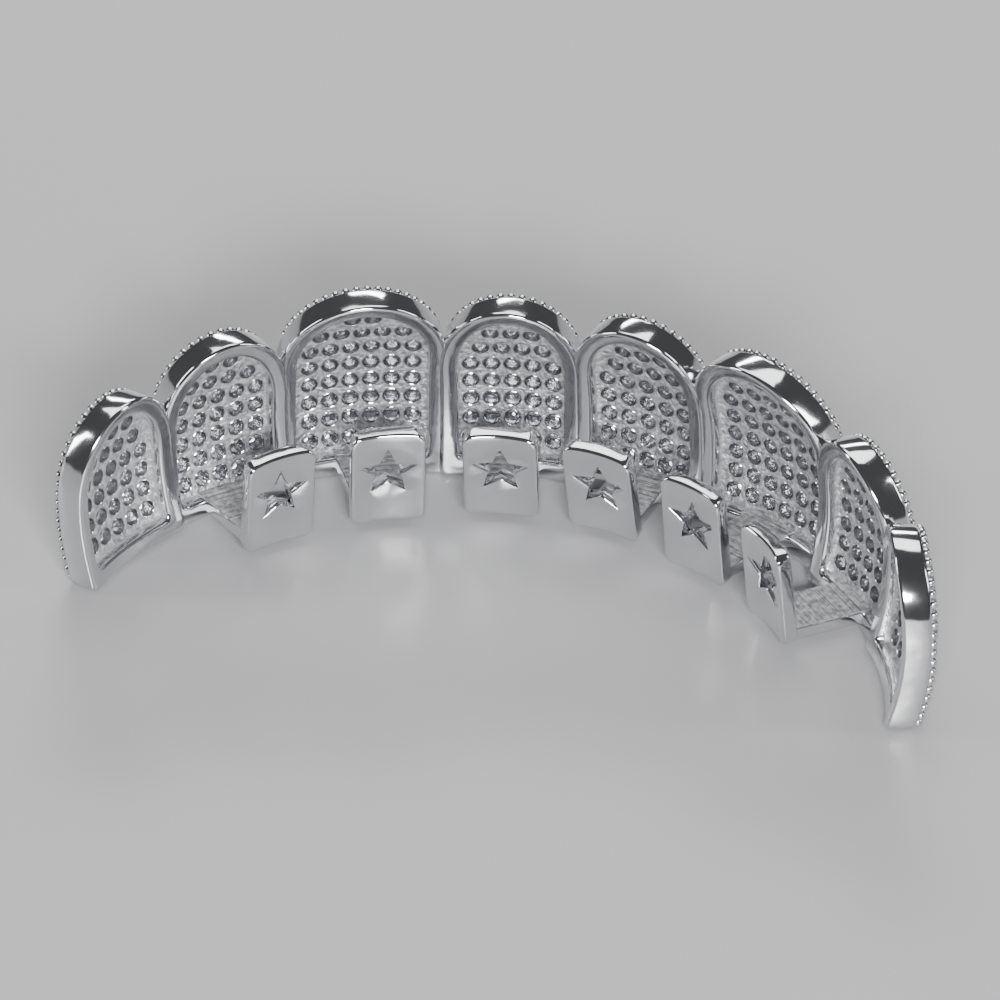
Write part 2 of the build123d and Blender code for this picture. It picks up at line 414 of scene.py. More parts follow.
@dataclass
class ToothFront:
    """One arched front: its place in the arch, its shell and the places of its stones.

    Args:
        arch: Sizes of the whole arch.
        index: Which of its fronts this is, 0 at the end.
        foot_spans: Spans of the outline's foot, on one side.
        corner_spans: Spans of its lower corner.
        side_spans: Spans of its straight side.
        top_spans: Spans of its arched top, on one side.
        hole_corners: Corners of a drilled hole.
        outer_spacing: Distance between the points strewn on the outer face.
        panel_spacing: Distance between those on the panel.
    """

    arch: ArchSizes
    index: int
    foot_spans: int = 8
    corner_spans: int = 5
    side_spans: int = 10
    top_spans: int = 22
    hole_corners: int = 18
    outer_spacing: float = 0.55
    panel_spacing: float = 0.4

    OUTER_SPANS, RIM_SPANS, PANEL_SPANS, FILLET_SPANS = 4, 5, 4, 2
    BORDER_STEP = 0.03
    SINK_SATIN = 0.2
    HOLE_SATIN = 0.1
    LIP_SECTION = ((-1.0, 0.0), (0.7, 0.15), (1.0, 0.4), (0.7, 0.65), (0.0, 1.0))
    DRAW_IN = 0.94
    MOST_DRAWS = 12

    def __post_init__(self) -> None:
        """Works out the front's own frame, X along the arch, Y inwards and Z up."""
        arch = self.arch
        self.sizes = arch.fronts[self.index]
        joints = [(f.across, f.forward) for f in arch.fronts] + [(0.0, 1.0)]
        start, end = (
            Vector((-arch.half_width * across, arch.ends_back - arch.depth * forward, 0))
            for across, forward in joints[self.index:self.index + 2]
        )
        chord = end - start
        self.half_width = chord.length / 2
        self.outline_half = self.half_width + arch.joint_overlap
        self.height = arch.front_height * self.sizes.height
        self.arch_base = self.height - arch.rise
        self.notch = self.arch_base + arch.rise * math.sqrt(1 - (self.half_width / self.outline_half) ** 2)
        along = chord.normalized()
        turn = Matrix((along, Vector((-along.y, along.x, 0)), Vector((0, 0, 1)))).transposed().to_4x4()
        self.upright = Matrix.Translation((start + end) / 2) @ turn
        lift = Matrix.Translation((0, 0, self.notch))
        lean = math.radians(self.sizes.lean)
        self.frame = self.upright @ lift @ Matrix.Rotation(lean, 4, "X") @ lift.inverted()
        rim_radius = arch.bulge_radius - arch.shell_wall
        self.inset = math.sqrt(rim_radius**2 - (self.notch - arch.bulge_height) ** 2 - self.half_width**2)
        outer_foot = self.inset - math.sqrt(arch.bulge_radius**2 - arch.bulge_height**2)
        self.foot = self.notch - (self.notch + outer_foot * math.sin(lean)) / math.cos(lean)

    def foremost(self) -> float:
        """How far forwards the border on the outer face reaches."""
        centre = self.frame @ Vector((0, self.inset, self.arch.bulge_height))
        return centre.y - self.arch.bulge_radius - self.arch.border_height

    def place(self, x: float, z: float, depth: float) -> Vector:
        """The place of a point of the front's outline.

        Args:
            x: Its flat place along the arch.
            z: Its height.
            depth: How deep below the outer face it lies.

        Returns:
            The place in millimetres.
        """
        radius = self.arch.bulge_radius - depth
        y = self.inset - math.sqrt(radius**2 - x**2 - (z - self.arch.bulge_height) ** 2)
        return self.frame @ Vector((x, y, z))

    def contour(self, inset: float) -> list[Pair]:
        """The outline moved inwards.

        Args:
            inset: Distance from the outer outline; at the rim's width it is the panel's opening.

        Returns:
            Points counterclockwise from the middle of the foot.
        """
        share = inset / self.arch.rim_side
        half = self.outline_half - inset
        rise = self.arch.rise - share * self.arch.rim_top
        foot = self.foot + share * (self.arch.foot_bar - self.foot)
        corner, base = self.arch.foot_corner, self.arch_base
        side = base - foot - corner
        right = [((half - corner) * k / self.foot_spans, foot) for k in range(self.foot_spans)]
        right += arc((half - corner, foot + corner), corner, -90, 0, self.corner_spans)
        right += [(half, foot + corner + side * k / self.side_spans) for k in range(1, self.side_spans + 1)]
        for k in range(1, self.top_spans + 1):
            angle = math.pi / 2 * k / self.top_spans
            right.append((half * math.cos(angle), base + rise * math.sin(angle)))
        left = [(-x, z) for x, z in reversed(right[1:-1])]
        return right + left

    def profile(self) -> list[tuple[float, float, float]]:
        """The section through the rim, from the outer face to the panel.

        Returns:
            Inset, depth and satin share of each step.
        """
        arch = self.arch
        wall, panel, rim = arch.shell_wall, arch.panel, arch.rim_side
        border, ridge = arch.border_width, arch.ridge
        outer, edge, inner, fillet = arch.outer_edge, arch.rim_edge, arch.panel_edge, arch.panel_fillet
        bright = [(border, 0.0), (border - self.BORDER_STEP, -ridge)]
        bright += arc((outer, outer - ridge), outer, 270, 180, self.OUTER_SPANS)
        bright += arc((edge, wall - edge), edge, 180, 90, self.RIM_SPANS)
        bright += arc((rim - inner, wall - inner), inner, 90, 0, self.PANEL_SPANS)
        steps = [(inset, depth, 0.0) for inset, depth in bright]
        steps.append((rim, (wall + panel) / 2, self.SINK_SATIN))
        matt = arc((rim + fillet, panel + fillet), fillet, 180, 270, self.FILLET_SPANS)
        return steps + [(inset, depth, 1.0) for inset, depth in matt]

    def stone_spots(self) -> list[Pair]:
        """Flat places of the main stones, as many in a row as fit inside the rim's opening.

        Returns:
            Their places along the arch and their heights.
        """
        arch, across, seat = self.arch, StoneSetting.pitch_across, StoneSetting.seat_radius
        first = math.asin((StoneSetting.first_row - arch.bulge_height) / arch.bulge_radius)
        spots = []
        for row in range(self.sizes.rows):
            turn = first + row * StoneSetting.pitch_up / arch.bulge_radius
            z = arch.bulge_height + arch.bulge_radius * math.sin(turn)
            up = max(0.0, z - self.arch_base) / (arch.rise - arch.rim_top - seat)
            reach = (self.outline_half - arch.rim_side - seat) * math.sqrt(max(0.0, 1 - up**2))
            count = min(self.sizes.columns, 1 + int(2 * reach / across)) if up <= 1 else 0
            spots += [((column - (count - 1) / 2) * across, z) for column in range(count)]
        return spots

    def outward(self, x: float, z: float) -> Vector:
        """The direction straight out of the outer face at a flat place, in the front's own frame."""
        rise = z - self.arch.bulge_height
        return Vector((x, -math.sqrt(self.arch.bulge_radius**2 - x**2 - rise**2), rise)).normalized()

    def drill(self, x: float, z: float, radius: float, depth: float) -> np.ndarray:
        """Flat points round a hole drilled straight in.

        Args:
            x: Flat place of the hole along the arch.
            z: Its height.
            radius: The hole's radius.
            depth: How deep below the outer face the points lie.

        Returns:
            The points, two columns.
        """
        aim = self.outward(x, z)
        across = Vector((1, 0, 0)).cross(aim).cross(aim).normalized()
        up = aim.cross(across)
        centre = aim * (self.arch.bulge_radius - depth)
        ring = []
        for k in range(self.hole_corners):
            angle = math.tau * k / self.hole_corners
            point = centre + across * (radius * math.cos(angle)) + up * (radius * math.sin(angle))
            ring.append((point.x, point.z + self.arch.bulge_height))
        return np.array(ring)

    def kept_off(self, ring: np.ndarray, loop: np.ndarray, gap: float) -> np.ndarray:
        """A hole's ring with the points near a loop drawn in towards the hole's middle.

        Args:
            ring: The ring's points.
            loop: The loop around it.
            gap: The least distance to the loop.

        Returns:
            The ring, clear of the loop.
        """
        ring, centre = ring.copy(), ring.mean(axis=0)
        for _ in range(self.MOST_DRAWS):
            near = ~inside(ring, loop) | (distance_to_loop(ring, loop) < gap)
            ring[near] = centre + (ring[near] - centre) * self.DRAW_IN
        return ring

    def build(self) -> ShellMesh:
        """The closed shell with its rounded rim, sunk panel and drilled seats.

        Returns:
            The shell's mesh.
        """
        shell = ShellMesh()
        loops, flats = [], []
        for inset, depth, satin in self.profile():
            flat = self.contour(inset)
            loops.append(shell.add_points([self.place(x, z, depth) for x, z in flat], satin))
            flats.append(np.array(flat))
        shell.sleeve(loops)
        panel, lip, foot = self.arch.panel, self.arch.lip_height, self.arch.lip_width
        rings = [(0.0, 0.0)] + [(panel + lip * up, foot * out) for up, out in self.LIP_SECTION]
        outer, inner = [(loops[0], flats[0])], [(loops[-1], flats[-1])]
        for x, z in self.stone_spots():
            hole = []
            for depth, widening in rings:
                ring = self.drill(x, z, StoneSetting.seat_radius + widening, depth)
                if depth:
                    ring = self.kept_off(ring, flats[-1], self.arch.lip_gap + foot - widening)
                satin = 1.0 if depth == panel else self.HOLE_SATIN
                hole.append((shell.add_points([self.place(a, b, depth) for a, b in ring], satin), ring))
            shell.sleeve([loop for loop, _ in hole], True)
            outer.append(hole[0])
            inner.append(hole[-1])
        for sides, depth, spacing, satin, flip in (
            (outer, 0.0, self.outer_spacing, 0.0, False),
            (inner, panel, self.panel_spacing, 1.0, True),
        ):
            side_loops, side_flats = (list(part) for part in zip(*sides))
            shell.fill(side_loops, side_flats, lambda x, z: self.place(x, z, depth), spacing, satin, flip)
        return shell


@dataclass
class TonguePlate:
    """An upright curved plate with a star cut out, and the strap that carries it.

    Args:
        sizes: The plate's place.
        front: The front that carries it.
        width: The plate's width.
        top: Height of its upper edge.
        thickness: Its thickness.
        curve: Radius of its tongue face.
        corner: Radius of its corners.
        edge: Rounding of its edges.
        star_radius: Radius of the star's points.
        star_waist: Radius of its inner corners, as a share of that.
        star_height: Height of its middle.
        star_lip: Bevel round the star.
        strap_width: Width of the strap.
        strap_underside: Height of its underside.
        strap_thickness: Its thickness.
        strap_edge: Rounding of its long edges.
        spacing: Distance between the points strewn on the plate.
    """

    sizes: PlateSizes
    front: ToothFront
    width: float = 3.9
    top: float = 6.35
    thickness: float = 0.85
    curve: float = 7.0
    corner: float = 0.6
    edge: float = 0.2
    star_radius: float = 1.52
    star_waist: float = 0.44
    star_height: float = 3.85
    star_lip: float = 0.07
    strap_width: float = 3.0
    strap_underside: float = 0.45
    strap_thickness: float = 0.8
    strap_edge: float = 0.12
    spacing: float = 0.3

    EDGE_SPANS, CORNER_SPANS, STAR_SPANS = 4, 6, 4
    LEAST_CORNER = 0.05
    LONG_SIDE = 0.9
    POINT_GROWTH = 1.6
    LIP_STEP = (0.3, 0.35)
    STRAP_SPANS, STRAP_EDGE_SPANS, STRAP_POINTS = 12, 3, 9
    BRUSHED = 2.0

    def __post_init__(self) -> None:
        """Places the plate's frame inside its front."""
        self.reach = self.sizes.reach * self.width
        self.shift = self.sizes.shift * self.width
        seat = Matrix.Translation((self.shift, self.reach, self.strap_underside))
        self.frame = self.front.upright @ seat @ Matrix.Rotation(math.radians(-self.sizes.tilt), 4, "X")
        self.height = self.top - self.strap_underside

    def place(self, x: float, z: float, depth: float) -> Vector:
        """The place at x and z on the plate, this deep behind its tongue face."""
        y = self.curve - math.sqrt((self.curve + depth) ** 2 - x**2)
        return self.frame @ Vector((x, y, z))

    def outline(self, inset: float) -> list[Pair]:
        """The plate's rounded outline moved inwards.

        Args:
            inset: By how much.

        Returns:
            Its flat points.
        """
        half, low, high = self.width / 2 - inset, inset, self.height - inset
        radius = max(self.corner - inset, self.LEAST_CORNER)
        points = []
        for cx, cz, start in ((half, low, -90), (half, high, 0), (-half, high, 90), (-half, low, 180)):
            centre = (cx - math.copysign(radius, cx), cz + (radius if cz == low else -radius))
            points += arc(centre, radius, start, start + 90, self.CORNER_SPANS)
        full = []
        for (ax, az), (bx, bz) in zip(points, points[1:] + points[:1]):
            length = math.hypot(bx - ax, bz - az)
            spans = max(1, round(length / self.spacing)) if length > self.LONG_SIDE else 1
            full += [(ax + (bx - ax) * k / spans, az + (bz - az) * k / spans) for k in range(spans)]
        return full

    def star(self, growth: float) -> list[Pair]:
        """The star's corners and points between them.

        Args:
            growth: By how much the star is grown.

        Returns:
            Its flat points.
        """
        middle = self.star_height - self.strap_underside
        corners = []
        for k in range(10):
            if k % 2:
                radius = self.star_radius * self.star_waist + growth
            else:
                radius = self.star_radius + growth * self.POINT_GROWTH
            angle = math.pi / 2 + k * math.pi / 5
            corners.append((radius * math.cos(angle), middle + radius * math.sin(angle)))
        full = []
        for (ax, az), (bx, bz) in zip(corners, corners[1:] + corners[:1]):
            shares = [k / self.STAR_SPANS for k in range(self.STAR_SPANS)]
            full += [(ax + (bx - ax) * share, az + (bz - az) * share) for share in shares]
        return full

    def sheets(self, plate: ShellMesh, flats: list[np.ndarray], depths: list[float]) -> list[list[int]]:
        """Adds loops of the plate at their depths.

        Args:
            plate: The mesh that gets them.
            flats: Each loop's flat points.
            depths: How deep behind the tongue face each lies.

        Returns:
            Each loop's point indices.
        """
        return [
            plate.add_points([self.place(x, z, depth) for x, z in flat], 0.0)
            for flat, depth in zip(flats, depths)
        ]

    def build(self) -> ShellMesh:
        """The plate as a closed mesh with rounded edges and the star cut through.

        Returns:
            The plate's mesh, with its strap.
        """
        plate = ShellMesh()
        edge, thick, lip = self.edge, self.thickness, self.star_lip
        section = arc((edge, edge), edge, 270, 180, self.EDGE_SPANS)
        section += arc((edge, thick - edge), edge, 180, 90, self.EDGE_SPANS)
        flats = [np.array(self.outline(inset)) for inset, _ in section]
        loops = self.sheets(plate, flats, [depth for _, depth in section])
        plate.sleeve(loops)
        out, deep = self.LIP_STEP
        cuts = [(lip, 0.0), (lip * out, lip * deep), (0.0, lip), (0.0, thick - lip), (lip, thick)]
        stars = [np.array(self.star(growth)) for growth, _ in cuts]
        holes = self.sheets(plate, stars, [depth for _, depth in cuts])
        plate.sleeve(holes, True)
        for end, depth, flip in ((0, 0.0, True), (-1, thick, False)):
            sides = [loops[end], holes[end]]
            flat = [flats[end], stars[end]]
            plate.fill(sides, flat, lambda x, z: self.place(x, z, depth), self.spacing, 0.0, flip)
        plate.absorb(self.strap())
        return plate

    def strap(self) -> ShellMesh:
        """The strap from the front's foot to the plate, with rounded long edges.

        Returns:
            The strap's mesh.
        """
        arch, edge = self.front.arch, self.strap_edge
        rim_radius = arch.bulge_radius - arch.shell_wall
        start = self.front.inset - math.sqrt(rim_radius**2 - arch.bulge_height**2)
        start += self.front.notch * math.sin(math.radians(self.front.sizes.lean)) - arch.shell_wall / 2
        end = self.reach - self.thickness / 2
        half, low = self.strap_width / 2, self.strap_underside
        high = low + self.strap_thickness
        side = arc((half - edge, low + edge), edge, -90, 0, self.STRAP_EDGE_SPANS)
        side += arc((half - edge, high - edge), edge, 0, 90, self.STRAP_EDGE_SPANS)
        across = np.linspace(half - edge, edge - half, self.STRAP_POINTS)[1:-1]
        section = side + [(x, high) for x in across]
        section += [(-x, z) for x, z in reversed(side)]
        section += [(-x, low) for x in across]
        strap = ShellMesh()
        loops = []
        for k in range(self.STRAP_SPANS + 1):
            share = k / self.STRAP_SPANS
            y = start + (end - start) * share
            points = [self.front.upright @ Vector((x + self.shift * share, y, z)) for x, z in section]
            loops.append(strap.add_points(points, 0.0, y))
            for index, (_, z) in zip(loops[-1], section):
                strap.satin[index] = self.BRUSHED if z > high - edge * 0.5 else 0.0
        strap.sleeve(loops)
        strap.faces.append(tuple(reversed(loops[0])))
        strap.faces.append(tuple(loops[-1]))
        return strap


@dataclass
class Spots:
    """Places, aims and sizes for what is set on the outer faces."""

    places: list[Vector] = field(default_factory=list)
    aims: list[Vector] = field(default_factory=list)
    sizes: list[float] = field(default_factory=list)

    def add(self, place: Vector, aim: Vector, size: float) -> None:
        """Adds one spot.

        Args:
            place: Its place in millimetres.
            aim: Which way it looks.
            size: Its radius.
        """
        self.places.append(place)
        self.aims.append(aim)
        self.sizes.append(size)

    def mirrored(self) -> "Spots":
        """The same spots on the other side of the middle plane.

        Returns:
            New spots.
        """
        return Spots(
            [Vector((-p.x, p.y, p.z)) for p in self.places],
            [Vector((-a.x, a.y, a.z)) for a in self.aims],
            list(self.sizes),
        )

    def joined(self, other: "Spots") -> "Spots":
        """These spots and another's."""
        return Spots(self.places + other.places, self.aims + other.aims, self.sizes + other.sizes)


@dataclass
class StoneSetting:
    """The stones and the beads that hold them on the outer face of a front.

    Args:
        front: The front that is set.
        stones: The planned stones.
        beads: The planned beads.
        seat_radius: Radius of the hole behind a main stone.
        stone_radius: Radius of a main stone.
        pitch_across: Distance between main stones along the arch.
        pitch_up: Distance between their rows.
        first_row: Height of the lowest row.
        girdle_lift: How far a main stone's girdle stands off the outer face.
        crown: Height of a stone over its girdle, as a share of its radius.
        joint_gap: Distance of the border's beads from the joint.
        border_inset: Their distance from the outline.
        border_pitch: Distance between them.
        border_radius: Their radius.
        border_lift: Height of their middles off the outer face.
        small_stone: Least radius of the small stones.
        largest_small: Their largest radius.
        bead_radius: Largest radius of the beads between stones.
        bead_lift: Height of those beads' middles, as a share of their radius.
        smallest_bead: Least radius of a bead.
        grid_step: Step of the grid on which room is sought.
    """

    front: ToothFront
    stones: Spots = field(default_factory=Spots)
    beads: Spots = field(default_factory=Spots)
    seat_radius: float = 0.42
    stone_radius: float = 0.54
    pitch_across: float = 1.13
    pitch_up: float = 1.25
    first_row: float = 1.75
    girdle_lift: float = 0.093
    crown: float = 0.32
    joint_gap: float = 0.21
    border_inset: float = 0.29
    border_pitch: float = 0.56
    border_radius: float = 0.27
    border_lift: float = 0.12
    small_stone: float = 0.26
    largest_small: float = 0.5
    bead_radius: float = 0.2
    bead_lift: float = 0.05
    smallest_bead: float = 0.1
    grid_step: float = 0.08

    EDGE_CLEAR = 0.02
    BEAD_OVERLAP = 0.05
    LEAST_SLOPE = 0.3

    def __post_init__(self) -> None:
        """Plans the stones and beads of one front."""
        self.plan()

    def unroll(self, points: list[Pair]) -> np.ndarray:
        """Measures the height of flat points along the bulge.

        Args:
            points: The flat points.

        Returns:
            The points, two columns.
        """
        arch = self.front.arch
        return np.array([
            (x, arch.bulge_radius * math.asin((z - arch.bulge_height) / arch.bulge_radius)) for x, z in points
        ])

    def roll(self, x: float, s: float) -> Pair:
        """A flat place from its place along the bulge."""
        arch = self.front.arch
        return x, arch.bulge_height + arch.bulge_radius * math.sin(s / arch.bulge_radius)

    def put(self, spots: Spots, x: float, s: float, lift: float, size: float) -> None:
        """Adds a spot at a place along the bulge, off the outer face but inside the part's box.

        Args:
            spots: Where it is kept.
            x: Its flat place along the arch.
            s: Its height along the bulge.
            lift: How far it stands off the outer face.
            size: Its radius.
        """
        proud = size * self.crown if spots is self.stones else size
        flat = self.roll(x, s)
        aim = self.front.frame.to_3x3() @ self.front.outward(*flat)
        place = self.front.place(*flat, 0) + aim * lift
        sunk = 0.0
        for low, high, at, way in zip(*CAD_BOX, place, aim):
            past = max(at + proud - high / MM, low / MM - at + proud)
            if past > 0:
                sunk = max(sunk, past / max(abs(way), self.LEAST_SLOPE))
        spots.add(place - aim * sunk, aim, size)

    def settable(self, inset: float) -> np.ndarray:
        """The outline of what can be set, moved inwards, with its height measured along the bulge.

        Args:
            inset: Distance from the outer outline.

        Returns:
            The outline, which stops at the joints with the neighbouring fronts.
        """
        joint = self.front.half_width - (self.joint_gap if inset else 0.0)
        free = self.front.outline_half if self.front.sizes.name == "end" else joint
        return self.unroll([(min(max(x, -free), joint), z) for x, z in self.front.contour(inset)])

    def room(self, grid: np.ndarray, circles: list[Circle]) -> np.ndarray:
        """How large a circle fits at each point of a grid.

        Args:
            grid: The points, two columns.
            circles: The circles that are set already.

        Returns:
            A radius for each point.
        """
        room = distance_to_loop(grid, self.settable(0.0)) - self.EDGE_CLEAR
        for x, s, radius in circles:
            room = np.minimum(room, np.hypot(grid[:, 0] - x, grid[:, 1] - s) - radius)
        return room

    def fill(self, spots: Spots, circles: list[Circle], least: float, most: float, lift: float) -> None:
        """Sets circles, the largest first, in what is left between others.

        Args:
            spots: Where they are kept.
            circles: The circles set so far, which grow by the new ones.
            least: Smallest radius.
            most: Largest radius.
            lift: Height off the outer face, as a share of the radius.
        """
        outline = self.settable(0.0)
        low, high = outline.min(axis=0), outline.max(axis=0)
        across, up = (np.arange(low[axis], high[axis], self.grid_step) for axis in (0, 1))
        grid = np.array([(x, s) for s in up for x in across])
        grid = grid[inside(grid, outline)]
        room = self.room(grid, circles)
        while room.max() > least:
            best = int(room.argmax())
            x, s = (float(value) for value in grid[best])
            radius = min(float(room[best]), most)
            circles.append((x, s, radius))
            self.put(spots, x, s, lift * radius, radius)
            room = np.minimum(room, np.hypot(grid[:, 0] - x, grid[:, 1] - s) - radius)

    def plan(self) -> None:
        """Sets the main stones, a border of beads, then small stones and beads in what is left."""
        circles = [(x, s, self.stone_radius) for x, s in self.unroll(self.front.stone_spots())]
        share = self.girdle_lift / self.stone_radius
        for x, s, radius in circles:
            self.put(self.stones, x, s, share * radius, radius)
        border = self.settable(self.border_inset)
        closed = np.vstack((border, border[:1]))
        reach = np.concatenate(([0], np.cumsum(np.linalg.norm(np.diff(closed, axis=0), axis=1))))
        count = round(reach[-1] / self.border_pitch)
        for k in range(count):
            along = reach[-1] * k / count
            x, s = (float(np.interp(along, reach, closed[:, axis])) for axis in (0, 1))
            gap = min(math.hypot(x - a, s - b) - r for a, b, r in circles)
            radius = min(self.border_radius, gap + self.BEAD_OVERLAP)
            if radius > self.smallest_bead:
                circles.append((x, s, radius))
                self.put(self.beads, x, s, self.border_lift, radius)
        self.fill(self.stones, circles, self.small_stone, self.largest_small, share)
        self.fill(self.beads, circles, self.smallest_bead, self.bead_radius, self.bead_lift)


class Socket:
    """A shader socket that takes part in Python expressions."""

    def __init__(self, tree: "NodeTree", link: bpy.types.NodeSocket) -> None:
        """Wraps an output socket."""
        self.tree = tree
        self.link = link

    def maths(self, operation: str, other: "Socket | float", swap: bool = False) -> "Socket":
        """One Math node of this socket and another value."""
        pair = (other, self) if swap else (self, other)
        return self.tree.node("ShaderNodeMath", {"operation": operation}, {0: pair[0], 1: pair[1]})

    def __add__(self, other: "Socket | float") -> "Socket":
        """Sum."""
        return self.maths("ADD", other)

    def __radd__(self, other: float) -> "Socket":
        """Sum with a number first."""
        return self.maths("ADD", other, True)

    def __sub__(self, other: "Socket | float") -> "Socket":
        """Difference."""
        return self.maths("SUBTRACT", other)

    def __rsub__(self, other: float) -> "Socket":
        """Difference from a number."""
        return self.maths("SUBTRACT", other, True)

    def __mul__(self, other: "Socket | float") -> "Socket":
        """Product."""
        return self.maths("MULTIPLY", other)

    def __rmul__(self, other: float) -> "Socket":
        """Product with a number first."""
        return self.maths("MULTIPLY", other, True)

    def clamped(self, low: float, high: float) -> "Socket":
        """The value kept between two limits."""
        return self.tree.node("ShaderNodeClamp", {}, {"Value": self, "Min": low, "Max": high})


class NodeTree:
    """A material's node tree."""

    def __init__(self, name: str) -> None:
        """Makes an empty material.

        Args:
            name: The material's name.
        """
        self.material = bpy.data.materials.new(name)
        self.material.use_nodes = True
        self.nodes = self.material.node_tree.nodes
        self.links = self.material.node_tree.links
        self.nodes.clear()

    def node(self, kind: str, settings: dict, values: dict, output: int | str = 0) -> Socket:
        """Adds a node.

        Args:
            kind: The node's type.
            settings: Properties that are set first.
            values: Numbers, colours or sockets for its inputs.
            output: The output to return.

        Returns:
            That output, wrapped.
        """
        made = self.nodes.new(kind)
        for name, value in settings.items():
            setattr(made, name, value)
        for name, value in values.items():
            if isinstance(value, Socket):
                self.links.new(value.link, made.inputs[name])
            else:
                made.inputs[name].default_value = value
        return Socket(self, made.outputs[output])

    def mix(self, share: Socket, first: tuple | Socket, second: tuple | Socket) -> Socket:
        """A colour between two, by a share."""
        return self.node("ShaderNodeMix", {"data_type": "RGBA"}, {0: share, 6: first, 7: second}, 2)

    def noise(self, scale: float, detail: float) -> Socket:
        """Noise on Object coordinates, of so many cells in a metre and so many octaves."""
        coords = self.node("ShaderNodeTexCoord", {}, {}, "Object")
        return self.node("ShaderNodeTexNoise", {}, {"Vector": coords, "Scale": scale, "Detail": detail})

    def attribute(self, name: str) -> Socket:
        """The value of a mesh attribute."""
        return self.node("ShaderNodeAttribute", {"attribute_name": name}, {}, "Fac")

    def finish(self, surface: dict) -> bpy.types.Material:
        """Connects a Principled shader to the output.

        Args:
            surface: Values or sockets for its inputs.

        Returns:
            The material.
        """
        shader = self.node("ShaderNodeBsdfPrincipled", {}, surface)
        output = self.nodes.new("ShaderNodeOutputMaterial")
        self.links.new(shader.link, output.inputs["Surface"])
        return self.material


@dataclass(frozen=True)
class BrightMetal:
    """Plated silver alloy: mirror polished, satin in the sunk panels and brushed on the straps; the satin's
    colour carries painted shade, darker in the low spots of its pits.

    Args:
        bright: Colour where it is polished.
        pale: Colour where it is satin.
        painted_pit_shade: Painted shade, the colour given to the low spots of the satin's pits.
        polish: Roughness where it is polished.
        satin: Roughness where it is satin.
        dullness: How much less metallic the satin is.
        wear_cells: Noise cells in a metre of the slight wear.
        grain_cells: Those of the satin's fine grain.
        pit_cells: Those of its pits.
        ripple_cells: Those of the ripples of casting.
        brush_cells: Brush lines in a millimetre.
        relief: Depth of the relief, in metres.
        pit_contrast: How sharply the pits stand out.
        wear_rough: How much the wear roughens.
        grain_rough: Least share and spread of the satin's roughness over its grain.
        pit_relief: Relief of the pits, the grain's being 1.
        ripple_relief: Relief of the ripples.
        brush_relief: Relief of the brush lines.
        brush_wipe: How much the brushing wipes out of grain and pits.
    """

    bright: tuple = (0.74, 0.745, 0.76, 1)
    pale: tuple = (0.70, 0.705, 0.715, 1)
    painted_pit_shade: tuple = (0.32, 0.325, 0.335, 1)
    polish: float = 0.07
    satin: float = 0.5
    dullness: float = 0.3
    wear_cells: float = 900
    grain_cells: float = 7000
    pit_cells: float = 3500
    ripple_cells: float = 450
    brush_cells: float = 3.6
    relief: float = 0.00005
    pit_contrast: float = 3
    wear_rough: float = 0.05
    grain_rough: Pair = (0.6, 0.8)
    pit_relief: float = 1.5
    ripple_relief: float = 1.2
    brush_relief: float = 5
    brush_wipe: float = 0.7

    def build(self) -> bpy.types.Material:
        """Makes the material.

        Returns:
            The material.
        """
        tree = NodeTree(Finish.METAL.value)
        mask = tree.attribute("satin")
        satin = mask.clamped(0, 1)
        brushed = (mask - 1).clamped(0, 1)
        wear = tree.noise(self.wear_cells, 4)
        grain = tree.noise(self.grain_cells, 2)
        # Mask of the satin's pits: where it is low, the relief is sunk and the colour gets painted shade.
        pits_and_painted_shade = ((tree.noise(self.pit_cells, 2) - 0.5) * self.pit_contrast + 0.5).clamped(0, 1)
        ripple = tree.noise(self.ripple_cells, 2)
        lines = {"W": tree.attribute("brush"), "Scale": self.brush_cells, "Detail": 2.0}
        brush = tree.node("ShaderNodeTexNoise", {"noise_dimensions": "1D"}, lines)
        least, spread = self.grain_rough
        rough = self.polish + wear * self.wear_rough
        rough += satin * (self.satin - self.polish) * (least + grain * spread)
        height = satin * (grain + pits_and_painted_shade * self.pit_relief) * (1 - brushed * self.brush_wipe)
        height += brushed * brush * self.brush_relief + ripple * self.ripple_relief
        bump = {"Strength": 1.0, "Distance": self.relief, "Height": height}
        # In the satin, the colour is painted darker in the low spots of the pits: painted shade, not the
        # metal's own colour.
        return tree.finish({
            "Base Color": tree.mix(satin, self.bright, tree.mix(pits_and_painted_shade, self.painted_pit_shade, self.pale)),
            "Metallic": 1 - satin * self.dullness,
            "Roughness": rough,
            "Normal": tree.node("ShaderNodeBump", {}, bump),
        })


@dataclass(frozen=True)
class ClearStone:
    """Clear cut stone with a high index.

    Args:
        tint: Body colour.
        deep: Body colour of its deeper spots.
        index: Index of refraction.
        spot_cells: Noise cells in a metre between the two colours.
    """

    tint: tuple = (0.97, 0.98, 1.0, 1)
    deep: tuple = (0.90, 0.93, 0.98, 1)
    index: float = 2.17
    spot_cells: float = 700

    def build(self) -> bpy.types.Material:
        """Makes the material.

        Returns:
            The material.
        """
        tree = NodeTree(Finish.STONE.value)
        colour = tree.mix(tree.noise(self.spot_cells, 2), self.tint, self.deep)
        return tree.finish({
            "Base Color": colour, "Roughness": 0.0, "IOR": self.index, "Transmission Weight": 1.0,
        })


@dataclass(frozen=True)
class PaleFloor:
    """Plain pale studio floor.

    Args:
        shade: Its colour.
        spot: Colour of its faint spots.
        roughness: Its roughness.
        spot_cells: Noise cells in a metre between the two colours.
    """

    shade: tuple = (0.42, 0.42, 0.43, 1)
    spot: tuple = (0.40, 0.40, 0.41, 1)
    roughness: float = 0.35
    spot_cells: float = 40

    def build(self) -> bpy.types.Material:
        """Makes the material.

        Returns:
            The material.
        """
        tree = NodeTree(Finish.FLOOR.value)
        colour = tree.mix(tree.noise(self.spot_cells, 3), self.shade, self.spot)
        return tree.finish({"Base Color": colour, "Roughness": self.roughness})


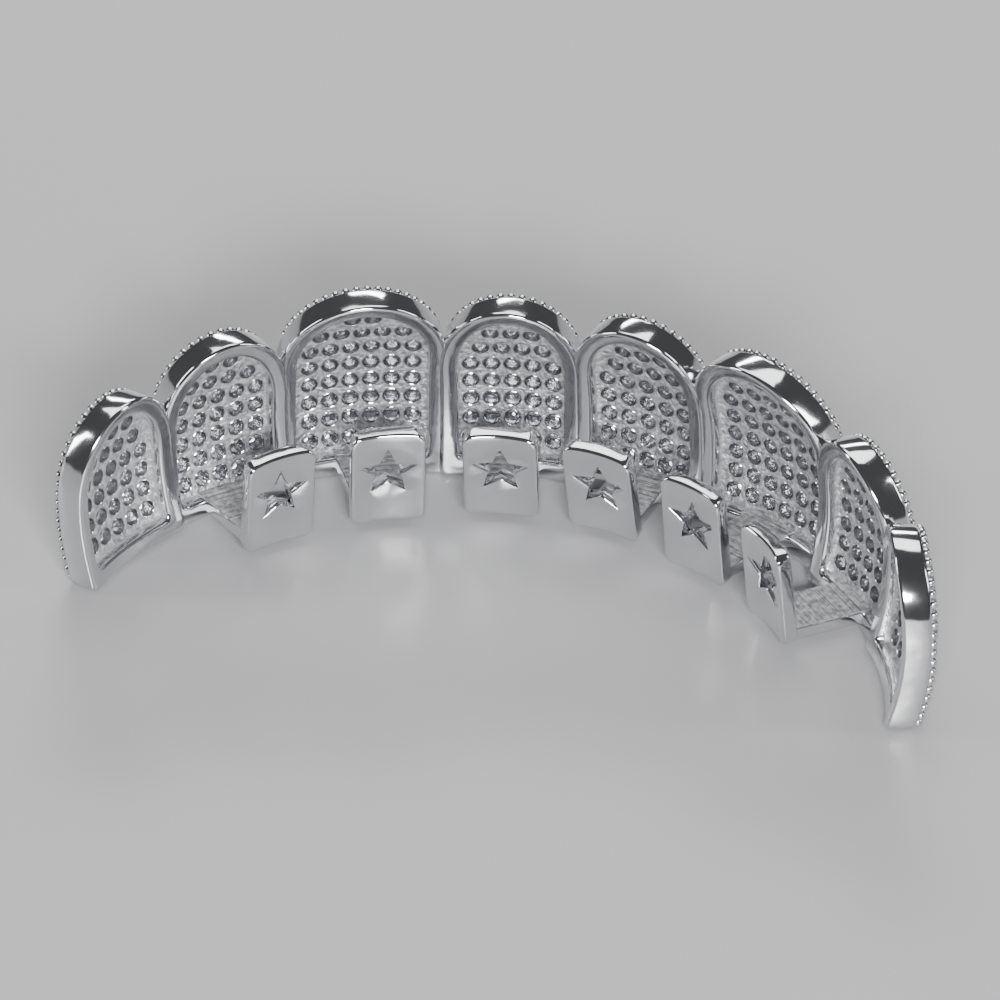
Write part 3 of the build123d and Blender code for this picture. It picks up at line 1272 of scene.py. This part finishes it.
@dataclass
class SetPieces:
    """Stones and beads instanced on their spots by Geometry Nodes.

    Args:
        metal: What the beads are dressed in.
        stone: What the stones are dressed in.
        table: Radius of a brilliant's table; its girdle has radius 1.
        crown: Height of its table over the girdle's middle.
        mid_reach: Radius where its kites end.
        low_reach: Radius where its lower facets end.
        depth: Depth of its point.
        band: Half the girdle's height.
        bead_detail: Subdivisions of a bead.
        seed: Seed of the stones' turns.
    """

    metal: bpy.types.Material
    stone: bpy.types.Material
    table: float = 0.56
    crown: float = 0.32
    mid_reach: float = 0.80
    low_reach: float = 0.35
    depth: float = 0.86
    band: float = 0.02
    bead_detail: int = 2
    seed: int = 7

    def __post_init__(self) -> None:
        """Makes the two pieces that are repeated and their trees."""
        self.brilliant = self.make_brilliant()
        self.bead = self.make_bead()
        self.trees = {
            "stones": self.make_tree("set_stones", self.stone),
            "beads": self.make_tree("set_beads", self.metal),
        }

    @staticmethod
    def to_object(name: str, shape: bmesh.types.BMesh) -> bpy.types.Object:
        """Makes an object of a shape that only serves as the thing repeated.

        Args:
            name: The object's name.
            shape: The shape, which is freed.

        Returns:
            The object.
        """
        mesh = bpy.data.meshes.new(name)
        shape.to_mesh(mesh)
        shape.free()
        return linked(name, mesh)

    def make_brilliant(self) -> bpy.types.Object:
        """One round brilliant of girdle radius 1 with its table up.

        Returns:
            The brilliant.
        """
        crown, band, depth = self.crown, self.band, self.depth
        half_step = math.tau / 16
        slope = (crown - band) / (1 - self.table)
        mid = band + slope * (1 - self.mid_reach * math.cos(half_step))
        low = -depth + (depth - band) * self.low_reach * math.cos(half_step)
        shape = bmesh.new()

        def ring(radius: float, height: float, count: int, shift: float) -> list[bmesh.types.BMVert]:
            """A ring of corners."""
            angles = [math.tau * k / count + shift for k in range(count)]
            return [shape.verts.new((radius * math.cos(a), radius * math.sin(a), height)) for a in angles]

        top = ring(self.table, crown, 8, 0)
        mids = ring(self.mid_reach, mid, 8, half_step)
        upper = ring(1, band, 16, 0)
        under = ring(1, -band, 16, 0)
        lows = ring(self.low_reach, low, 8, half_step)
        culet = shape.verts.new((0, 0, -depth))
        shape.faces.new(top)
        for k in range(8):
            after, before = (k + 1) % 8, (k - 1) % 8
            here, middle, there = 2 * k, 2 * k + 1, (2 * k + 2) % 16
            for corners in (
                (top[k], mids[k], top[after]),
                (top[k], mids[before], upper[here], mids[k]),
                (mids[k], upper[here], upper[middle]),
                (mids[k], upper[middle], upper[there]),
                (culet, lows[k], under[here], lows[before]),
                (lows[k], under[middle], under[here]),
                (lows[k], under[there], under[middle]),
            ):
                shape.faces.new(corners)
        for k in range(16):
            after = (k + 1) % 16
            shape.faces.new((upper[k], under[k], under[after], upper[after]))
        bmesh.ops.recalc_face_normals(shape, faces=shape.faces)
        return self.to_object("one_brilliant", shape)

    def make_bead(self) -> bpy.types.Object:
        """One rounded bead of radius 1.

        Returns:
            The bead.
        """
        shape = bmesh.new()
        bmesh.ops.create_icosphere(shape, subdivisions=self.bead_detail, radius=1.0)
        made = self.to_object("one_bead", shape)
        made.data.shade_smooth()
        return made

    @staticmethod
    def make_tree(name: str, material: bpy.types.Material) -> bpy.types.NodeTree:
        """A tree that repeats an object on points, turned to their aim and scaled to their size.

        Args:
            name: The tree's name.
            material: What the result is dressed in.

        Returns:
            The tree, with inputs Geometry, Piece, Scale, Turn Spread and Seed.
        """
        tree = bpy.data.node_groups.new(name, "GeometryNodeTree")
        for label, way, kind in (
            ("Geometry", "INPUT", "Geometry"),
            ("Piece", "INPUT", "Object"),
            ("Scale", "INPUT", "Float"),
            ("Turn Spread", "INPUT", "Float"),
            ("Seed", "INPUT", "Int"),
            ("Geometry", "OUTPUT", "Geometry"),
        ):
            tree.interface.new_socket(label, in_out=way, socket_type=f"NodeSocket{kind}")

        def node(kind: str, settings: dict | None = None) -> bpy.types.Node:
            """Adds a node.

            Args:
                kind: The node's type.
                settings: Its properties.

            Returns:
                The node.
            """
            made = tree.nodes.new(kind)
            for key, value in (settings or {}).items():
                setattr(made, key, value)
            return made

        given = node("NodeGroupInput")
        result = node("NodeGroupOutput")
        aim = node("GeometryNodeInputNamedAttribute", {"data_type": "FLOAT_VECTOR"})
        aim.inputs["Name"].default_value = "aim"
        size = node("GeometryNodeInputNamedAttribute", {"data_type": "FLOAT"})
        size.inputs["Name"].default_value = "size"
        align = node("FunctionNodeAlignRotationToVector", {"axis": "Z"})
        spin = node("FunctionNodeRandomValue", {"data_type": "FLOAT"})
        spin_vector = node("ShaderNodeCombineXYZ")
        spin_turn = node("FunctionNodeEulerToRotation")
        rotate = node("FunctionNodeRotateRotation", {"rotation_space": "LOCAL"})
        scale = node("ShaderNodeMath", {"operation": "MULTIPLY"})
        info = node("GeometryNodeObjectInfo")
        instance = node("GeometryNodeInstanceOnPoints")
        realize = node("GeometryNodeRealizeInstances")
        dress = node("GeometryNodeSetMaterial")
        dress.inputs["Material"].default_value = material
        for source, output, target, entry in (
            (given, "Piece", info, "Object"),
            (aim, "Attribute", align, "Vector"),
            (given, "Turn Spread", spin, 3),
            (given, "Seed", spin, "Seed"),
            (spin, 1, spin_vector, "Z"),
            (spin_vector, 0, spin_turn, 0),
            (align, 0, rotate, 0),
            (spin_turn, 0, rotate, 1),
            (size, "Attribute", scale, 0),
            (given, "Scale", scale, 1),
            (given, "Geometry", instance, "Points"),
            (info, "Geometry", instance, "Instance"),
            (rotate, 0, instance, "Rotation"),
            (scale, 0, instance, "Scale"),
            (instance, 0, realize, 0),
            (realize, 0, dress, "Geometry"),
            (dress, 0, result, "Geometry"),
        ):
            tree.links.new(source.outputs[output], target.inputs[entry])
        return tree

    def make(self, name: str, kind: str, spots: Spots) -> bpy.types.Object:
        """Sets one object on each spot and returns the plain mesh.

        Args:
            name: The finished piece's name.
            kind: "stones" or "beads".
            spots: Where, which way and how large.

        Returns:
            The finished piece.
        """
        points = bpy.data.meshes.new(f"{name}_points")
        points.from_pydata([p * MM for p in spots.places], [], [])
        aim = points.attributes.new("aim", "FLOAT_VECTOR", "POINT")
        aim.data.foreach_set("vector", [value for a in spots.aims for value in a])
        size = points.attributes.new("size", "FLOAT", "POINT")
        size.data.foreach_set("value", spots.sizes)
        made = linked(name, points)
        modifier = made.modifiers.new("set", "NODES")
        modifier.node_group = self.trees[kind]
        wanted = {
            "Piece": self.brilliant if kind == "stones" else self.bead,
            "Scale": MM,
            "Turn Spread": math.tau,
            "Seed": self.seed,
        }
        for item in modifier.node_group.interface.items_tree:
            if item.in_out == "INPUT" and item.name in wanted:
                modifier[item.identifier] = wanted[item.name]
        bpy.context.view_layer.update()
        ready = made.evaluated_get(bpy.context.evaluated_depsgraph_get())
        mesh = bpy.data.meshes.new_from_object(ready)
        made.modifiers.remove(modifier)
        made.data = mesh
        bpy.data.meshes.remove(points)
        mesh.name = name
        return made

    def tidy_away(self) -> None:
        """Removes the pieces that were only repeated."""
        for piece in (self.brilliant, self.bead):
            bpy.data.objects.remove(piece)


@dataclass
class ToothCover:
    """The whole object: casting, stones and beads.

    Args:
        sizes: Sizes of the arch, which is moved to the front of the part's box.
    """

    sizes: ArchSizes = field(default_factory=ArchSizes)

    def __post_init__(self) -> None:
        """Makes the fronts and the finishes, with the foremost front at the front of the part's box."""
        foremost = ToothFront(self.sizes, len(self.sizes.fronts) - 1).foremost()
        arch = replace(self.sizes, ends_back=CAD_BOX[0][1] / MM - foremost)
        self.fronts = [ToothFront(arch, index) for index in range(len(arch.fronts))]
        self.plates = [TonguePlate(sizes, self.fronts[sizes.front]) for sizes in arch.plates]
        self.metal = BrightMetal().build()
        self.stone = ClearStone().build()

    @staticmethod
    def own(piece: bpy.types.Object, slot: Finish, nodes: list[str]) -> None:
        """Makes a finished piece part of the object.

        Args:
            piece: The finished piece.
            slot: The finish; not used.
            nodes: CAD nodes that it stands for.
        """
        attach(piece, "root")
        if nodes:
            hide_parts(*nodes)
        LOG.info("%s: %d faces", piece.name, len(piece.data.polygons))

    def cast(self) -> None:
        """Builds the casting: fronts, plates and straps of both halves."""
        half = ShellMesh()
        for front in self.fronts:
            half.absorb(front.build())
        for plate in self.plates:
            half.absorb(plate.build())
        whole = ShellMesh()
        whole.absorb(half)
        whole.absorb(half.mirrored())
        piece = whole.to_object("casting")
        piece.data.materials.append(self.metal)
        self.own(piece, Finish.METAL, ["cast_body"])

    def set_stones(self) -> None:
        """Sets the stones of each front, and all the beads as one piece."""
        pieces = SetPieces(self.metal, self.stone)
        beads = Spots()
        for front in self.fronts:
            setting = StoneSetting(front)
            beads = beads.joined(setting.beads).joined(setting.beads.mirrored())
            for half in Half:
                spots = setting.stones if half is Half.LEFT else setting.stones.mirrored()
                side = half.name.lower()
                piece = pieces.make(f"brilliants_{front.sizes.name}_{side}", "stones", spots)
                self.own(piece, Finish.STONE, [f"stones_{front.sizes.name}_{side}"])
        piece = pieces.make("bead_prongs", "beads", beads)
        self.own(piece, Finish.METAL, [])
        pieces.tidy_away()


@dataclass(frozen=True)
class SoftLight:
    """One soft rectangular light that looks at the object.

    Args:
        name: Its plain name.
        place: Where it stands, in metres.
        size: Its two sides, in metres.
        power: Its power in watts.
    """

    name: str
    place: tuple[float, float, float]
    size: Pair
    power: float

    def build(self) -> None:
        """Adds the light."""
        data = bpy.data.lights.new(self.name, "AREA")
        data.shape = "RECTANGLE"
        data.size, data.size_y = self.size
        data.energy = self.power
        made = linked(self.name, data)
        made.location = self.place
        made.rotation_euler = Vector(self.place).to_track_quat("Z", "Y").to_euler()


@dataclass(frozen=True)
class Studio:
    """Floor, lights and camera.

    Args:
        azimuth: Camera azimuth in degrees, 0 looks along +Y.
        elevation: Camera elevation in degrees.
        distance: Camera distance in metres.
        pixels_per_mm: Scale of the picture.
        picture_width: Width of the picture in pixels.
        aim: What the middle of the picture looks at, in millimetres.
        sensor_width: Width of the camera's sensor in millimetres.
        clip: Nearest and farthest distance that the camera sees, in metres.
        floor_reach: Half the floor's side, in metres.
        surround: Colour of the dim surround.
        surround_strength: Its strength.
        soft_lights: The lights.
    """

    azimuth: float = 196.13
    elevation: float = 36.43
    distance: float = 1.425
    pixels_per_mm: float = 19.4
    picture_width: int = 1000
    aim: tuple[float, float, float] = (2.2, -0.6, 3.2)
    sensor_width: float = 36.0
    clip: Pair = (0.05, 20)
    floor_reach: float = 3.0
    surround: tuple = (0.75, 0.77, 0.8, 1)
    surround_strength: float = 0.1
    soft_lights: tuple[SoftLight, ...] = (
        SoftLight("top_rear", (0.08, -0.28, 0.5), (0.5, 0.28), 1.5),
        SoftLight("tongue_side", (-0.22, 0.55, 0.32), (0.26, 0.1), 8.0),
        SoftLight("left_strip", (0.5, 0.12, 0.2), (0.06, 0.3), 0.8),
        SoftLight("right_strip", (-0.5, -0.1, 0.25), (0.06, 0.3), 0.7),
        SoftLight("front_fill", (0.16, -0.6, 0.3), (0.3, 0.08), 1.2),
    )

    def camera(self) -> None:
        """Places the camera at the photograph's viewing angle."""
        az, el = math.radians(self.azimuth), math.radians(self.elevation)
        back = Vector((math.sin(az) * math.cos(el), -math.cos(az) * math.cos(el), math.sin(el)))
        data = bpy.data.cameras.new("camera")
        data.sensor_width = self.sensor_width
        data.lens = self.pixels_per_mm * self.distance / MM * self.sensor_width / self.picture_width
        data.clip_start, data.clip_end = self.clip
        made = linked("camera", data)
        made.location = Vector(self.aim) * MM + back * self.distance
        made.rotation_euler = back.to_track_quat("Z", "Y").to_euler()
        bpy.context.scene.camera = made

    def floor(self) -> None:
        """Lays the plain pale floor."""
        mesh = bpy.data.meshes.new("floor")
        reach = self.floor_reach
        corners = [(-reach, -reach, 0), (reach, -reach, 0), (reach, reach, 0), (-reach, reach, 0)]
        mesh.from_pydata(corners, [], [(0, 1, 2, 3)])
        mesh.materials.append(PaleFloor().build())
        made = linked("floor", mesh)

    def world(self) -> None:
        """Sets the dim surround."""
        world = bpy.data.worlds.new("studio")
        world.use_nodes = True
        back = world.node_tree.nodes["Background"]
        back.inputs["Color"].default_value = self.surround
        back.inputs["Strength"].default_value = self.surround_strength
        bpy.context.scene.world = world

    def build(self) -> None:
        """Makes the whole stage."""
        self.floor()
        for light in self.soft_lights:
            light.build()
        self.world()
        self.camera()


def main() -> None:
    """Builds the dressed object and its stage."""
    logging.basicConfig(level=logging.INFO, format="%(name)s: %(message)s")
    Studio().build()
    cover = ToothCover()
    cover.cast()
    cover.set_stones()


if __name__ == "__main__":
    main()
